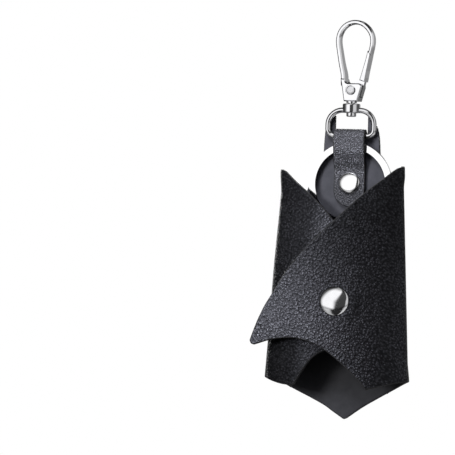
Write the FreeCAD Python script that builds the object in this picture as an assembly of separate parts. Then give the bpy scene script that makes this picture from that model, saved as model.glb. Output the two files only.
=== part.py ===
import FreeCAD, Part
import os
from math import sin, cos, radians, sqrt

# Wrap-around leather key case with a riveted strap, key ring, D-ring and swivel snap hook.
# Frame: X right, Y back, Z up, millimetres. Y = 0 is the flat rear face of the back panel,
# X = 0 is the swivel axis. The leather lies at Y <= 0 and the case opens towards the front.

Vector = FreeCAD.Vector
ORIGIN = Vector(0, 0, 0)
BACKWARD = Vector(0, 1, 0)
FORWARD = Vector(0, -1, 0)
UP = Vector(0, 0, 1)

# ---------------------------------------------------------------- shared dimensions
leather = 1.4               # leather thickness
layer_gap = 1.5             # space between flap and wing, taken up by the snap
touch = 0.02                # clearance between metal parts and the leather they lie on

# side folds: outer radius and side lines vary linearly with height
corner_z = -32.0            # height of the bottom corners
corner_fold_radius = 9.4    # right fold at corner_z
fold_radius_slope = -0.05526
right_side_x, right_side_slope = 22.50, -0.060      # X at Z = 0, change with Z
left_side_x, left_side_slope = -26.2, 0.050
shell_z = (-50.0, 50.0)     # the shells run past the outlines that trim them
wing_end_x, flap_end_x = 9.0, -36.0
trim_y0, trim_y1 = -40.0, 6.0

# the strap's fold, which carries the D-ring's bar
strap_fold_y, strap_fold_z = -2.95, 54.45
notch_x0, notch_x1 = -5.95, 5.75    # notch in the back panel's neck
notch_top_z = 62.3

rivet_x, rivet_z = -0.1, 38.2
rivet_post_radius, rivet_flange_radius = 1.30, 3.40
rivet_sunk = 0.60           # how far the rear flange is pressed into the back panel


# ---------------------------------------------------------------- general helpers
def polygon(points):
    return Part.makePolygon(points + [points[0]])


def polygon_face(points):
    return Part.Face(polygon(points))


def lines(points):
    """Straight edges joining the points in turn."""
    return [Part.makeLine(a, b) for a, b in zip(points[:-1], points[1:])]


def smooth_edge(points):
    """One edge through the points: a line for two, a spline for more."""
    if len(points) == 2:
        return Part.makeLine(points[0], points[1])
    curve = Part.BSplineCurve()
    curve.interpolate(points)
    return curve.toShape()


def full_turn(face):
    return face.revolve(ORIGIN, UP, 360)


def turned(profile):
    """Solid of revolution about local Z from a closed (radius, z) outline."""
    return full_turn(polygon_face([Vector(r, 0, z) for r, z in profile]))


def turned_smooth(curve, rest):
    """As turned, with the first run of points joined by one smooth curve."""
    curve = [Vector(r, 0, z) for r, z in curve]
    rest = [Vector(r, 0, z) for r, z in rest]
    edges = [smooth_edge(curve)] + lines([curve[-1]] + rest + [curve[0]])
    return full_turn(Part.Face(Part.Wire(edges)))


def on_axis(shape, origin, direction):
    """A copy with its local Z laid along direction from origin."""
    shape = shape.copy()
    shape.Placement = FreeCAD.Placement(origin, FreeCAD.Rotation(UP, direction))
    return shape


def circle_edges(shape):
    return [e for e in shape.Edges if isinstance(e.Curve, Part.Circle)]


# ---------------------------------------------------------------- leather shells
def right_radius(z):
    return corner_fold_radius + fold_radius_slope * (z - corner_z)


def left_radius(z):
    return right_radius(z) - (leather + layer_gap) / 2.0


def right_centre_x(z):
    return right_side_x + right_side_slope * z - right_radius(z)


def left_centre_x(z):
    return left_side_x + left_side_slope * z + left_radius(z)


def arc(centre_x, centre_y, radius, angle0, angle1, z):
    """Arc edge in a level plane, with its two end points."""
    start, middle, end = [
        Vector(centre_x + radius * cos(radians(a)), centre_y + radius * sin(radians(a)), z)
        for a in (angle0, (angle0 + angle1) / 2.0, angle1)]
    return Part.Arc(start, middle, end).toShape(), start, end


def fold_section(centre_x, radius, angle0, angle1, z):
    """The leather's cut section round a quarter turn about (centre_x, -radius)."""
    outer, outer_start, outer_end = arc(centre_x, -radius, radius, angle0, angle1, z)
    inner, inner_start, inner_end = arc(centre_x, -radius, radius - leather, angle1, angle0, z)
    return Part.Wire([outer, Part.makeLine(outer_end, inner_start),
                      inner, Part.makeLine(inner_end, outer_start)])


def front_section(centre_x, radius, side_angle, end_x, z):
    """Section of a front layer: a quarter fold, then straight across to end_x."""
    outer, outer_start, outer_end = arc(centre_x, -radius, radius, side_angle, 270, z)
    inner, inner_start, inner_end = arc(centre_x, -radius, radius - leather, 270, side_angle, z)
    tip = [Vector(end_x, -2 * radius, z), Vector(end_x, -2 * radius + leather, z)]
    return Part.Wire([outer] + lines([outer_end] + tip + [inner_start])
                     + [inner, Part.makeLine(inner_end, outer_start)])


def shell(section):
    """Ruled-height loft of section(z) between the two shell heights."""
    return Part.makeLoft([section(z) for z in shell_z], True, True)


def outline_prism(runs):
    """Closed XZ outline extruded along Y. Each run is one smooth edge that starts
    where the run before it ends."""
    edges = []
    start = runs[-1][-1]
    for run in runs:
        edges.append(smooth_edge([Vector(x, 0, z) for x, z in [start] + run]))
        start = run[-1]
    face = Part.Face(Part.Wire(edges))
    face.translate(Vector(0, trim_y0, 0))
    return face.extrude(Vector(0, trim_y1 - trim_y0, 0))


# Outlines as runs of (x, z). The uprights at X = -30.5 and 27.5 clear the leather's sides.
back_outline = [
    # V-shaped foot: left edge, tip, right edge
    [(-27.9, -31.75), (-24.4, -33.5), (-21.1, -34.8), (-16.8, -36.8), (-7.25, -41.4),
     (-4.2, -43.4), (-0.75, -45.6)],
    [(0.17, -46.05), (1.3, -45.6)],
    [(6.4, -41.9), (11.3, -38.85), (17.8, -35.1), (23.3, -32.2), (27.5, -30.4)],
    # right side and horn
    [(27.5, 44.4)],
    [(19.95, 44.4)],
    [(19.1, 42.4), (17.7, 39.7), (16.3, 38.5)],
    # neck, right ear, notch, left ear
    [(15.1, 40.2), (13.84, 42.16), (12.3, 44.2), (11.1, 46.6), (10.55, 49.0), (10.4, 51.5),
     (10.15, 54.4), (9.66, 57.1), (8.86, 59.0), (7.6, 60.7), (notch_x1, notch_top_z)],
    [(notch_x1, strap_fold_z)],
    [(notch_x0, strap_fold_z)],
    [(notch_x0, notch_top_z)],
    [(-7.7, 60.8), (-8.9, 59.0), (-9.6, 57.0), (-9.85, 54.4), (-10.0, 51.5), (-10.1, 48.9),
     (-10.8, 46.3), (-12.0, 43.8), (-13.5, 41.2), (-14.6, 38.4), (-15.3, 36.2), (-15.9, 34.8)],
    # left horn and side
    [(-17.6, 35.5), (-20.2, 37.5), (-22.4, 40.0), (-23.8, 42.3)],
    [(-30.5, 42.3)],
    [(-30.5, -30.55)],
]

wing_outline = [
    [(-23.7, 42.3)],
    # free edge, from the top down to the bottom corner
    [(-21.3, 40.7), (-18.5, 38.2), (-15.0, 35.4), (-11.3, 32.3), (-7.4, 28.7), (-4.3, 25.2),
     (0.6, 18.5), (4.0, 11.0), (5.6, 3.0), (5.6, -6.0), (3.6, -14.0), (0.0, -19.3),
     (-4.2, -21.2), (-7.2, -22.5), (-10.0, -24.9), (-12.9, -29.0), (-15.0, -32.6)],
    [(-15.6, -33.6), (-16.8, -34.1)],
    # bottom edge and left side
    [(-20.7, -33.7), (-24.6, -32.9), (-27.9, -31.75), (-30.5, -30.55)],
    [(-30.5, 42.3)],
]

flap_outline = [
    [(20.1, 44.4)],
    # upper edge, down to the tip at the left
    [(18.9, 43.9), (17.4, 43.2), (16.3, 42.3), (11.1, 38.0), (8.1, 35.6), (4.2, 32.4),
     (1.2, 29.4), (-3.2, 25.0), (-7.6, 20.7), (-12.2, 15.8), (-16.3, 11.2), (-19.9, 6.4),
     (-22.4, 2.5), (-24.6, -1.9), (-26.9, -6.4), (-29.1, -11.7), (-30.9, -16.3),
     (-31.8, -18.6)],
    [(-31.6, -19.7), (-30.6, -20.0)],
    # lower edge, back to the right
    [(-28.5, -19.35), (-25.4, -18.4), (-20.7, -17.55), (-16.0, -17.3), (-12.8, -17.6),
     (-9.6, -18.4), (-6.3, -19.8), (-3.1, -21.8), (0.3, -24.4), (3.6, -27.1), (5.4, -28.7),
     (8.2, -31.4), (10.5, -34.1)],
    [(11.0, -34.5), (12.0, -34.4)],
    # bottom edge and right side
    [(15.8, -33.6), (19.1, -32.8), (23.5, -31.9), (27.5, -30.4)],
    [(27.5, 44.4)],
]


def rivet_hole():
    return Part.makeCylinder(rivet_post_radius + 0.05, 12.0, Vector(rivet_x, -8.0, rivet_z),
                             BACKWARD)


def make_back_panel():
    """Flat back with its two back half-folds, the foot, the horns and the eared neck."""
    low, high = shell_z
    flat = polygon_face(
        [Vector(left_centre_x(z), 0, z) for z in (low, high)]
        + [Vector(right_centre_x(z), 0, z) for z in (high, low)]
    ).extrude(Vector(0, -leather, 0))
    right_fold = shell(lambda z: fold_section(right_centre_x(z), right_radius(z), 90, 0, z))
    left_fold = shell(lambda z: fold_section(left_centre_x(z), left_radius(z), 90, 180, z))
    neck = Part.makeBox(28.0, leather, 26.0, Vector(-12.0, -leather, 44.6))
    panel = flat.fuse([right_fold, left_fold, neck]).removeSplitter()
    panel = panel.common(outline_prism(back_outline)).removeSplitter()
    flange_seat = Part.makeCylinder(rivet_flange_radius + 0.05, rivet_sunk + 1.0,
                                    Vector(rivet_x, -rivet_sunk - touch, rivet_z), BACKWARD)
    return panel.cut(rivet_hole()).cut(flange_seat)


# ---------------------------------------------------------------- snap fastener
# Local axis: +Z runs inwards from the flap's outer face, square to it.
snap_x, snap_z = -1.55, -3.8
snap_cap_radius = 5.25
cap_tube_radius, cap_tube_bore = 1.50, 0.95     # outer and inner radius
wing_hole_radius = 0.95
snap_ring_sweep = 318       # degrees of the open wire ring

flap_slope = -2.0 * fold_radius_slope
flap_norm = sqrt(1.0 + flap_slope * flap_slope)
snap_inward = Vector(0, 1.0 / flap_norm, -flap_slope / flap_norm)
snap_origin = Vector(snap_x, -2.0 * right_radius(snap_z), snap_z)

# depths of the leather faces along the snap axis
flap_inside = leather / flap_norm
wing_outside = (leather + layer_gap) / flap_norm
wing_inside = (2 * leather + layer_gap) / flap_norm


def on_snap_axis(shape):
    return on_axis(shape, snap_origin, snap_inward)


def make_inner_wing():
    """Layer from the left side, lying under the flap."""
    band = shell(lambda z: front_section(left_centre_x(z), left_radius(z), 180, wing_end_x, z))
    wing = band.common(outline_prism(wing_outline))
    hole = Part.makeCylinder(wing_hole_radius, 4.0, Vector(0, 0, wing_outside - 1.0))
    return wing.cut(on_snap_axis(hole))


def make_front_flap():
    """Outer layer from the right side, crossing the front past the left side."""
    band = shell(lambda z: front_section(right_centre_x(z), right_radius(z), 360, flap_end_x, z))
    flap = band.common(outline_prism(flap_outline))
    hole = Part.makeCylinder(cap_tube_radius + touch, 4.0, Vector(0, 0, -1.5))
    return flap.cut(on_snap_axis(hole))


def make_snap_cap():
    """Domed cap with a tube through the flap, flared at its inner end."""
    return on_snap_axis(turned_smooth(
        [(0, -1.50), (1.6, -1.45), (3.0, -1.28), (4.0, -1.02), (4.7, -0.72), (5.1, -0.42),
         (snap_cap_radius, -0.16)],
        [(snap_cap_radius - 0.12, -touch), (cap_tube_radius, -touch),
         (cap_tube_radius, flap_inside + 0.34), (2.10, flap_inside + 0.34),
         (2.10, flap_inside + 0.46), (cap_tube_bore, flap_inside + 0.46),
         (cap_tube_bore, -0.5), (0, -0.5)]))


def make_snap_socket():
    """Thin cup against the flap's inner face."""
    base = flap_inside + touch
    return on_snap_axis(turned([
        (1.55, base), (4.15, base), (4.30, base + 0.15), (4.20, base + 0.3), (4.20, 2.60),
        (4.08, 2.72), (2.25, 2.72), (2.25, 2.60), (3.60, 2.60), (3.60, base + 0.28),
        (1.55, base + 0.28)]))


def make_snap_spring():
    """Open ring of round wire inside the socket."""
    wire = Part.Face(Part.Wire(Part.makeCircle(0.20, Vector(2.62, 0, 2.32), BACKWARD)))
    return on_snap_axis(wire.revolve(ORIGIN, UP, snap_ring_sweep))


def make_snap_stud():
    """Hollow knob on a flange against the wing's outer face."""
    base = wing_outside - touch
    return on_snap_axis(turned_smooth(
        [(0, 1.99), (1.3, 2.00), (1.80, 2.10), (2.04, 2.28), (2.00, 2.46), (1.72, 2.58)],
        [(1.62, 2.76), (3.45, 2.76), (3.60, base), (0.93, base), (0.93, 2.14), (0, 2.14)]))


def make_snap_post():
    """Post through the wing with a disc on the wing's inner face."""
    base = wing_inside + touch
    return on_snap_axis(turned([
        (0, 2.18), (0.80, 2.18), (0.90, 2.28), (0.90, base), (4.00, base),
        (4.10, base + 0.1), (3.90, base + 0.26), (0, base + 0.26)]))


# ---------------------------------------------------------------- strap and rivet
strap_x0, strap_x1 = -5.75, 5.55
strap_end_z = 29.7
strap_fold_inner = 1.55                     # inner radius of the fold
strap_fold_outer = strap_fold_inner + leather
strap_rear_y = -leather - 0.05              # rear face where it lies on the back panel
strap_front_y = strap_rear_y - leather
# each face of the front leg slopes between these heights
bend_inner_z, flat_inner_z = 48.9, 42.7
bend_outer_z, flat_outer_z = 49.2, 43.0

rivet_cap_radius, rivet_cap_height = 3.95, 1.35
rivet_cap_base = -strap_front_y + touch     # measured forwards


def strap_fold_arc(radius):
    """Half circle over the fold from Y offset +radius to -radius."""
    offsets = [(radius, 0), (0, abs(radius)), (-radius, 0)]
    ends = [Vector(0, strap_fold_y + y, strap_fold_z + z) for y, z in offsets]
    return Part.Arc(*ends).toShape()


def make_strap():
    inner_leg_y = strap_fold_y - strap_fold_inner
    outer_leg_y = strap_fold_y - strap_fold_outer
    blank_end_z = strap_end_z - 1       # trimmed to the rounded end below
    front_leg = [
        (outer_leg_y, strap_fold_z), (outer_leg_y, bend_outer_z),
        (strap_front_y, flat_outer_z), (strap_front_y, blank_end_z),
        (strap_rear_y, blank_end_z), (strap_rear_y, flat_inner_z),
        (inner_leg_y, bend_inner_z), (inner_leg_y, strap_fold_z)]
    rear_end = [(strap_fold_y + strap_fold_inner, strap_fold_z),
                (strap_fold_y + strap_fold_outer, strap_fold_z)]
    edges = [strap_fold_arc(strap_fold_outer)]
    edges += lines([Vector(0, y, z) for y, z in front_leg])
    edges.append(strap_fold_arc(-strap_fold_inner))
    edges += lines([Vector(0, y, z) for y, z in rear_end])

    width = strap_x1 - strap_x0
    strap = Part.Face(Part.Wire(edges)).extrude(Vector(width, 0, 0))
    strap.translate(Vector(strap_x0, 0, 0))

    round_z = strap_end_z + width / 2.0
    middle_x = (strap_x0 + strap_x1) / 2.0
    keep = Part.makeBox(width + 2, 10, 40, Vector(strap_x0 - 1, -8, round_z))
    end_round = Part.makeCylinder(width / 2.0, 10, Vector(middle_x, -8, round_z), BACKWARD)
    return strap.common(keep.fuse(end_round)).cut(rivet_hole())


def on_rivet_axis(shape):
    """Local +Z points to the front."""
    return on_axis(shape, Vector(rivet_x, 0, rivet_z), FORWARD)


def make_rivet_cap():
    base, top = rivet_cap_base, rivet_cap_base + rivet_cap_height
    bore = rivet_post_radius + 0.02
    return on_rivet_axis(turned_smooth(
        [(0, top), (1.4, top - 0.03), (2.6, top - 0.12), (3.3, top - 0.33),
         (3.76, top - 0.70), (rivet_cap_radius, base + 0.22)],
        [(rivet_cap_radius - 0.12, base), (bore, base), (bore, base + 0.62),
         (0, base + 0.62)]))


def make_rivet_post():
    tip = rivet_cap_base + 0.58
    return on_rivet_axis(turned([
        (0, tip), (rivet_post_radius - 0.15, tip), (rivet_post_radius, rivet_cap_base + 0.40),
        (rivet_post_radius, rivet_sunk), (rivet_flange_radius, rivet_sunk),
        (rivet_flange_radius, 0.20), (rivet_flange_radius - 0.25, 0.01), (0, 0.01)]))


# ---------------------------------------------------------------- key ring
# Two flat turns joined by one step. Angles run in degrees from +X towards +Z.
ring_x, ring_z = 0.5, 37.7
ring_inner, ring_outer = 12.8, 15.0     # radii
ring_rear_y = -1.80
coil_thickness, coil_gap = 1.05, 0.10
step_sweep = 24.0
ring_start = 275.0
turn_sweep = 360.0 - step_sweep - 1.2
step_sections = 7


def ring_section(angle, y):
    outward = Vector(cos(radians(angle)), 0, sin(radians(angle)))
    centre = Vector(ring_x, y, ring_z)
    half = coil_thickness / 2.0
    corners = [(ring_inner, -half), (ring_outer, -half), (ring_outer, half), (ring_inner, half)]
    return polygon([centre + outward * r + Vector(0, offset, 0) for r, offset in corners])


def flat_turn(y, start):
    face = Part.Face(ring_section(start, y))
    return face.revolve(Vector(ring_x, y, ring_z), FORWARD, turn_sweep)


def make_key_ring():
    rear_y = ring_rear_y - coil_thickness / 2.0
    front_y = rear_y - (coil_thickness + coil_gap)
    step_start = ring_start + turn_sweep
    sections = []
    for i in range(step_sections):
        part = i / (step_sections - 1.0)
        ease = 3 * part * part - 2 * part * part * part     # level at both ends
        sections.append(ring_section(step_start + step_sweep * part,
                                     rear_y + (front_y - rear_y) * ease))
    step = Part.makeLoft(sections, True, True)
    rear_turn = flat_turn(rear_y, ring_start)
    front_turn = flat_turn(front_y, step_start + step_sweep)
    return rear_turn.fuse([step, front_turn]).removeSplitter()


# ---------------------------------------------------------------- D-ring with swivel boss
dring_y = strap_fold_y
dring_wire_radius = 0.95
bar_z, bar_half = 55.0, 6.05
corner_radius = 2.30
shoulder_z, shoulder_radius = 58.85, 5.20
boss_radius, boss_z0, boss_z1 = 3.15, 63.1, 66.4
stem_radius, stem_clearance = 1.20, 0.05


def wire_run(x0, z0, x1, z1):
    along = Vector(x1 - x0, 0, z1 - z0)
    return Part.makeCylinder(dring_wire_radius, along.Length, Vector(x0, dring_y, z0), along)


def wire_bend(x, z, radius, angle0):
    """Quarter bend about (x, z) starting at angle0, degrees from +X towards +Z."""
    cosine, sine = cos(radians(angle0)), sin(radians(angle0))
    start = Vector(x + radius * cosine, dring_y, z + radius * sine)
    circle = Part.makeCircle(dring_wire_radius, start, Vector(-sine, 0, cosine))
    return Part.Face(Part.Wire(circle)).revolve(Vector(x, dring_y, z), FORWARD, 90)


def make_d_ring():
    side_x = bar_half + corner_radius
    bend_z = bar_z + corner_radius
    top_half = side_x - shoulder_radius
    top_z = shoulder_z + shoulder_radius
    bow = [
        wire_run(-bar_half, bar_z, bar_half, bar_z),
        wire_bend(bar_half, bend_z, corner_radius, -90),
        wire_run(side_x, bend_z, side_x, shoulder_z),
        wire_bend(top_half, shoulder_z, shoulder_radius, 0),
        wire_run(top_half, top_z, -top_half, top_z),
        wire_bend(-top_half, shoulder_z, shoulder_radius, 90),
        wire_run(-side_x, shoulder_z, -side_x, bend_z),
        wire_bend(-bar_half, bend_z, corner_radius, 180),
    ]
    boss = Part.makeCylinder(boss_radius, boss_z1 - boss_z0, Vector(0, dring_y, boss_z0))
    boss = boss.makeFillet(0.45, circle_edges(boss))
    stem_hole = Part.makeCylinder(stem_radius + stem_clearance, 12, Vector(0, dring_y, 58))
    return boss.fuse(bow).cut(stem_hole)


# ---------------------------------------------------------------- snap hook
# Local frame: u across, w to the front, z up; then turned about the swivel axis.
hook_turn = -9.0            # degrees about +Z
block_half, gate_half, tongue_half, slot_half = 2.60, 1.95, 1.00, 1.10      # along w
pin_u, pin_z = 0.50, 71.10
pin_radius, pin_clearance, pin_head_radius = 0.75, 0.05, 1.70
stem_z0, stem_z1 = 61.9, 67.4
neck_radius, neck_z0, neck_z1 = 1.9, 66.65, 67.3
stem_head_radius, stem_head_z, stem_head_height = 1.75, 61.75, 1.25
bow_corner_cut = 0.45
# slanted seam between nose and gate: a point on it and its normal towards the nose, (u, z)
seam_u, seam_z = 6.80, 84.45
seam_normal_u, seam_normal_z = 0.835, 0.550

# bow centre line from inside the block, up the left, over the top and down to the nose:
# u, z, bar width in the plane of the bow, depth along w
bow_stations = [
    (-2.35, 72.6, 1.60, 4.9), (-2.86, 75.4, 1.60, 4.3), (-3.70, 79.6, 1.58, 3.9),
    (-4.35, 82.6, 1.60, 3.6), (-4.92, 85.6, 1.62, 3.4), (-5.35, 88.4, 1.62, 3.2),
    (-5.15, 90.6, 1.60, 3.1), (-4.30, 92.6, 1.58, 3.0), (-2.90, 94.15, 1.56, 2.9),
    (-1.10, 95.10, 1.56, 2.8), (0.95, 95.42, 1.56, 2.75), (3.00, 95.05, 1.56, 2.7),
    (4.85, 94.00, 1.54, 2.7), (6.30, 92.45, 1.50, 2.7), (7.25, 90.6, 1.46, 2.75),
    (7.55, 88.6, 1.42, 2.85), (7.32, 86.5, 1.36, 3.05), (6.85, 84.4, 1.32, 3.3),
    (6.35, 82.2, 1.30, 3.6),
]

# side outlines, (u, z)
block_outline = [
    (-2.15, 67.2), (3.0, 67.2), (4.42, 72.2), (4.36, 72.9), (4.0, 73.4), (3.4, 73.6),
    (-0.7, 73.6), (-1.35, 73.8), (-1.75, 74.3), (-2.0, 75.2), (-3.6, 75.3), (-3.2, 73.3)]
slot_outline = [(-1.75, 68.6), (7.0, 68.6), (7.0, 74.25), (-1.75, 74.25)]
gate_outline = [
    (3.35, 74.78), (5.38, 74.08), (5.70, 75.6), (6.10, 78.0), (6.62, 80.6), (7.02, 82.6),
    (7.45, 84.8), (6.40, 86.0), (6.16, 85.15), (5.55, 82.4), (4.30, 78.0)]
tongue_outline = [
    (-1.5, 70.45), (-0.45, 70.45), (-0.3, 69.8), (0.8, 69.5), (1.8, 69.2), (2.7, 68.75),
    (3.62, 68.9), (4.75, 72.9), (5.30, 75.0), (5.30, 75.8), (3.85, 75.8), (3.40, 75.1),
    (2.2, 74.5), (-0.2, 73.0), (-1.5, 71.9)]


def hook_point(u, w, z):
    return Vector(u, -w, z)


def place_hook(shape):
    shape = shape.copy()
    shape.rotate(ORIGIN, UP, hook_turn)
    shape.translate(Vector(0, dring_y, 0))
    return shape


def slab(outline, half):
    face = polygon_face([hook_point(u, half, z) for u, z in outline])
    return face.extrude(Vector(0, 2 * half, 0))


def chamfered_slab(outline, half, chamfer):
    """Slab with the edges of its front and rear faces chamfered."""
    solid = slab(outline, half)
    rim = [e for e in solid.Edges
           if abs(e.Vertexes[0].Point.y - e.Vertexes[-1].Point.y) < 1e-6]
    return solid.makeChamfer(chamfer, rim)


def pin_cylinder(radius, half, w=0.0):
    """Cylinder on the gate pin's axis, reaching half each way from w."""
    return Part.makeCylinder(radius, 2 * half, hook_point(pin_u, w + half, pin_z), BACKWARD)


def seam_prism(offset, down, up, depth):
    """Prism on the seam shifted by offset, reaching depth along the seam's normal."""
    start = hook_point(seam_u + seam_normal_u * offset, 6, seam_z + seam_normal_z * offset)
    along = Vector(-seam_normal_z, 0, seam_normal_u)
    across = Vector(seam_normal_u, 0, seam_normal_z) * depth
    low, high = start - along * down, start + along * up
    return polygon_face([low, high, high + across, low + across]).extrude(Vector(0, 12, 0))


def bow_section(index):
    """Octagonal bar section square to the centre line at one station."""
    u, z, width, depth = bow_stations[index]
    before = bow_stations[max(index - 1, 0)]
    after = bow_stations[min(index + 1, len(bow_stations) - 1)]
    along_u, along_z = after[0] - before[0], after[1] - before[1]
    length = sqrt(along_u * along_u + along_z * along_z)
    normal_u, normal_z = -along_z / length, along_u / length
    side, front, cut = width / 2.0, depth / 2.0, bow_corner_cut
    corners = [(-side, front - cut), (-side + cut, front), (side - cut, front),
               (side, front - cut), (side, -front + cut), (side - cut, -front),
               (-side + cut, -front), (-side, -front + cut)]
    return polygon([hook_point(u + a * normal_u, w, z + a * normal_z) for a, w in corners])


def make_hook_body():
    """Slotted block with the bow above and the swivel stem below."""
    bow = Part.makeLoft([bow_section(i) for i in range(len(bow_stations))], True, False)
    bow = bow.cut(seam_prism(0, 5.0, 2.4, -5))
    block = chamfered_slab(block_outline, block_half, 0.38)
    stem = Part.makeCylinder(stem_radius, stem_z1 - stem_z0, Vector(0, 0, stem_z0))
    neck = Part.makeCylinder(neck_radius, neck_z1 - neck_z0, Vector(0, 0, neck_z0))
    head = Part.makeCylinder(stem_head_radius, stem_head_height, Vector(0, 0, stem_head_z))
    head = head.makeFillet(0.40, [e for e in circle_edges(head)
                                  if abs(e.Vertexes[0].Point.z - stem_head_z) < 1e-6])
    body = block.fuse([bow, stem, neck, head]).cut(slab(slot_outline, slot_half))
    body = body.cut(pin_cylinder(pin_radius, block_half + 1.0))
    # a shallow groove round each pin head
    for face_w in (block_half, -block_half):
        groove = pin_cylinder(pin_head_radius + 0.34, 0.14, face_w)
        core = pin_cylinder(pin_head_radius + 0.04, 0.20, face_w)
        body = body.cut(groove.cut(core))
    return place_hook(body)


def make_gate():
    """Gate head closing on the nose, with a tongue that runs down into the slot."""
    head = chamfered_slab(gate_outline, gate_half, 0.30)
    head = head.cut(seam_prism(-0.10, 4.0, 3.2, 6))
    gate = head.fuse(slab(tongue_outline, tongue_half))
    gate = gate.cut(pin_cylinder(pin_radius + pin_clearance, 4))
    return place_hook(gate.removeSplitter())


def make_gate_pin():
    head = turned([(0, 0.30), (0.9, 0.28), (1.4, 0.20), (pin_head_radius, 0.06),
                   (pin_head_radius, 0.01), (0, 0.01)])
    heads = [on_axis(head, hook_point(pin_u, face_w, pin_z), direction)
             for face_w, direction in ((block_half, FORWARD), (-block_half, BACKWARD))]
    return place_hook(pin_cylinder(pin_radius, block_half + 0.01).fuse(heads))


def make_gate_spring():
    """Short coil standing on the slot floor under the tongue's left end."""
    coil_u, coil_radius, wire_radius, turns = -1.0, 0.37, 0.11, 4.0
    low, high = 68.62 + wire_radius, 70.43 - wire_radius
    helix = Part.makeHelix((high - low) / turns, high - low, coil_radius)
    wire = Part.Wire(Part.makeCircle(wire_radius, Vector(coil_radius, 0, 0), BACKWARD))
    coil = Part.Wire(helix).makePipeShell([wire], True, True)
    coil.translate(hook_point(coil_u, 0, low))
    return place_hook(coil)


# ---------------------------------------------------------------- export
builders = {
    "back_panel": make_back_panel,
    "front_flap": make_front_flap,
    "inner_wing": make_inner_wing,
    "strap": make_strap,
    "strap_rivet_cap": make_rivet_cap,
    "strap_rivet_post": make_rivet_post,
    "snap_cap": make_snap_cap,
    "snap_socket": make_snap_socket,
    "snap_spring": make_snap_spring,
    "snap_stud": make_snap_stud,
    "snap_post": make_snap_post,
    "key_ring": make_key_ring,
    "d_ring": make_d_ring,
    "hook_body": make_hook_body,
    "gate": make_gate,
    "gate_pin": make_gate_pin,
    "gate_spring": make_gate_spring,
}

os.makedirs("parts", exist_ok=True)
for name, build in builders.items():
    solids = build().Solids
    shape = solids[0] if len(solids) == 1 else Part.makeCompound(solids)
    shape.exportStep("parts/%s.step" % name)
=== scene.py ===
"""A small folded leather case with a snap, a strap rivet, a split ring, a D-ring and a spring hook.

The case stands upright: +Z is up, its front faces -Y and its right side, seen from the front, is +X.
One sheet makes the back and, round the right fold, the front flap. A second sheet is the inner wing,
which comes round the left fold and lies under the flap. The strap loops over at the top. The leather
is laid out in millimetres and everything else is in metres.
"""

import math
import random

import bmesh
import bpy
import numpy as np
from mathutils import Matrix, Vector
from mathutils.geometry import delaunay_2d_cdt

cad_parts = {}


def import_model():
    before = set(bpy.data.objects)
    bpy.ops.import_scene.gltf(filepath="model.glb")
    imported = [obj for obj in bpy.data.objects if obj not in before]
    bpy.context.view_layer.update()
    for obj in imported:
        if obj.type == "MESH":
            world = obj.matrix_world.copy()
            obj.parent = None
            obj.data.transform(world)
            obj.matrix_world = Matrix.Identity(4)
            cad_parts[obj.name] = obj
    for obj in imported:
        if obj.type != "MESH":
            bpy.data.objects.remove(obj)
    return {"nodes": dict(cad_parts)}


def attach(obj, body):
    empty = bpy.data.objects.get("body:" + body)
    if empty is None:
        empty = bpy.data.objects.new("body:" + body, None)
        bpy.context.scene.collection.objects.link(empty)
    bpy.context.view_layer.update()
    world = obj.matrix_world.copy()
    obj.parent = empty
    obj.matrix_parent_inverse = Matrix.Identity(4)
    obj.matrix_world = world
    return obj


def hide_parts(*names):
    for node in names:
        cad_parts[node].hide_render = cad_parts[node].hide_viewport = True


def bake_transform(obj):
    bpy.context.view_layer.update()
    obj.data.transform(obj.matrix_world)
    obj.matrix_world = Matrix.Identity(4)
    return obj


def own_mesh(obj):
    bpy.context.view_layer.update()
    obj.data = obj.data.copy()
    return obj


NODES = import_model()["nodes"]
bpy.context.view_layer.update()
random.seed(7)
rng = np.random.default_rng(7)

MM = 0.001
QUARTER = math.pi / 2            # a quarter turn

# ---------------------------------------------------------------- driving sizes, mm
LEATHER = 1.4                    # thickness of every sheet
GAP = 1.5                        # between the flap and the wing
FOLD_SLOPE = -0.05526            # change of fold radius per mm of height
SNAP = (-1.55, -3.8)             # X and Z of the snap
RIVET_SEAT = (-0.1, 38.2)        # X and Z of the strap rivet's rear flange
BOW_RIGHT = -4.0                 # the front curves back to the right of this X
BOW_LEFT = BOW_RIGHT - 2.0       # and to the left of this one

SEAM_TOP, SEAM_FOOT = 42.4, -31.6          # ends of the line down the left fold, Z
SPLIT_FOOT = -31.4                         # foot of the right fold where back and flap part, Z
EAR_TOP = 62.3                             # top of the two ears beside the strap, Z
NOTCH_LEFT, NOTCH_RIGHT = -5.95, 5.75      # sides of the notch between the ears, X
STRAP_LEFT, STRAP_RIGHT = -5.75, 5.55      # sides of the strap, X
STRAP_ROOT = 54.45                         # where the strap leaves the back, Z
STRAP_BEND = 2.95                          # outer radius of its bend over the D-ring's bar
STRAP_TIP = 29.7                           # lower end of the strap in front, Z
STRAP_PATH_END = 27.0                      # lower end of the path it follows, Z


# ---------------------------------------------------------------- curves
def smooth(x):
    """An eased step, 0 below 0 and 1 above 1."""
    x = np.clip(x, 0.0, 1.0)
    return x * x * (3 - 2 * x)


def rise(value, start, width):
    """0 below start, 1 from width above it."""
    return smooth((value - start) / width)


def fall(value, start, width):
    """0 above start, 1 from width below it."""
    return smooth((start - value) / width)


def distance(x, z, place):
    return np.sqrt((x - place[0]) ** 2 + (z - place[1]) ** 2)


def unit(rows):
    return rows / (np.linalg.norm(rows, axis=1)[:, None] + 1e-12)


def waves(x, y, seed, size):
    """Slow, smooth unevenness, -1 to 1."""
    x, y = x / size, y / size
    draw = np.random.default_rng(seed)
    total = np.zeros_like(x)
    for _ in range(6):
        angle = draw.uniform(0, 2 * math.pi)
        rate = draw.uniform(0.5, 1.7)
        along = (x * math.cos(angle) + y * math.sin(angle)) * rate * 2 * math.pi
        total = total + np.sin(along + draw.uniform(0, 6.28)) / 6.0
    return total


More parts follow.
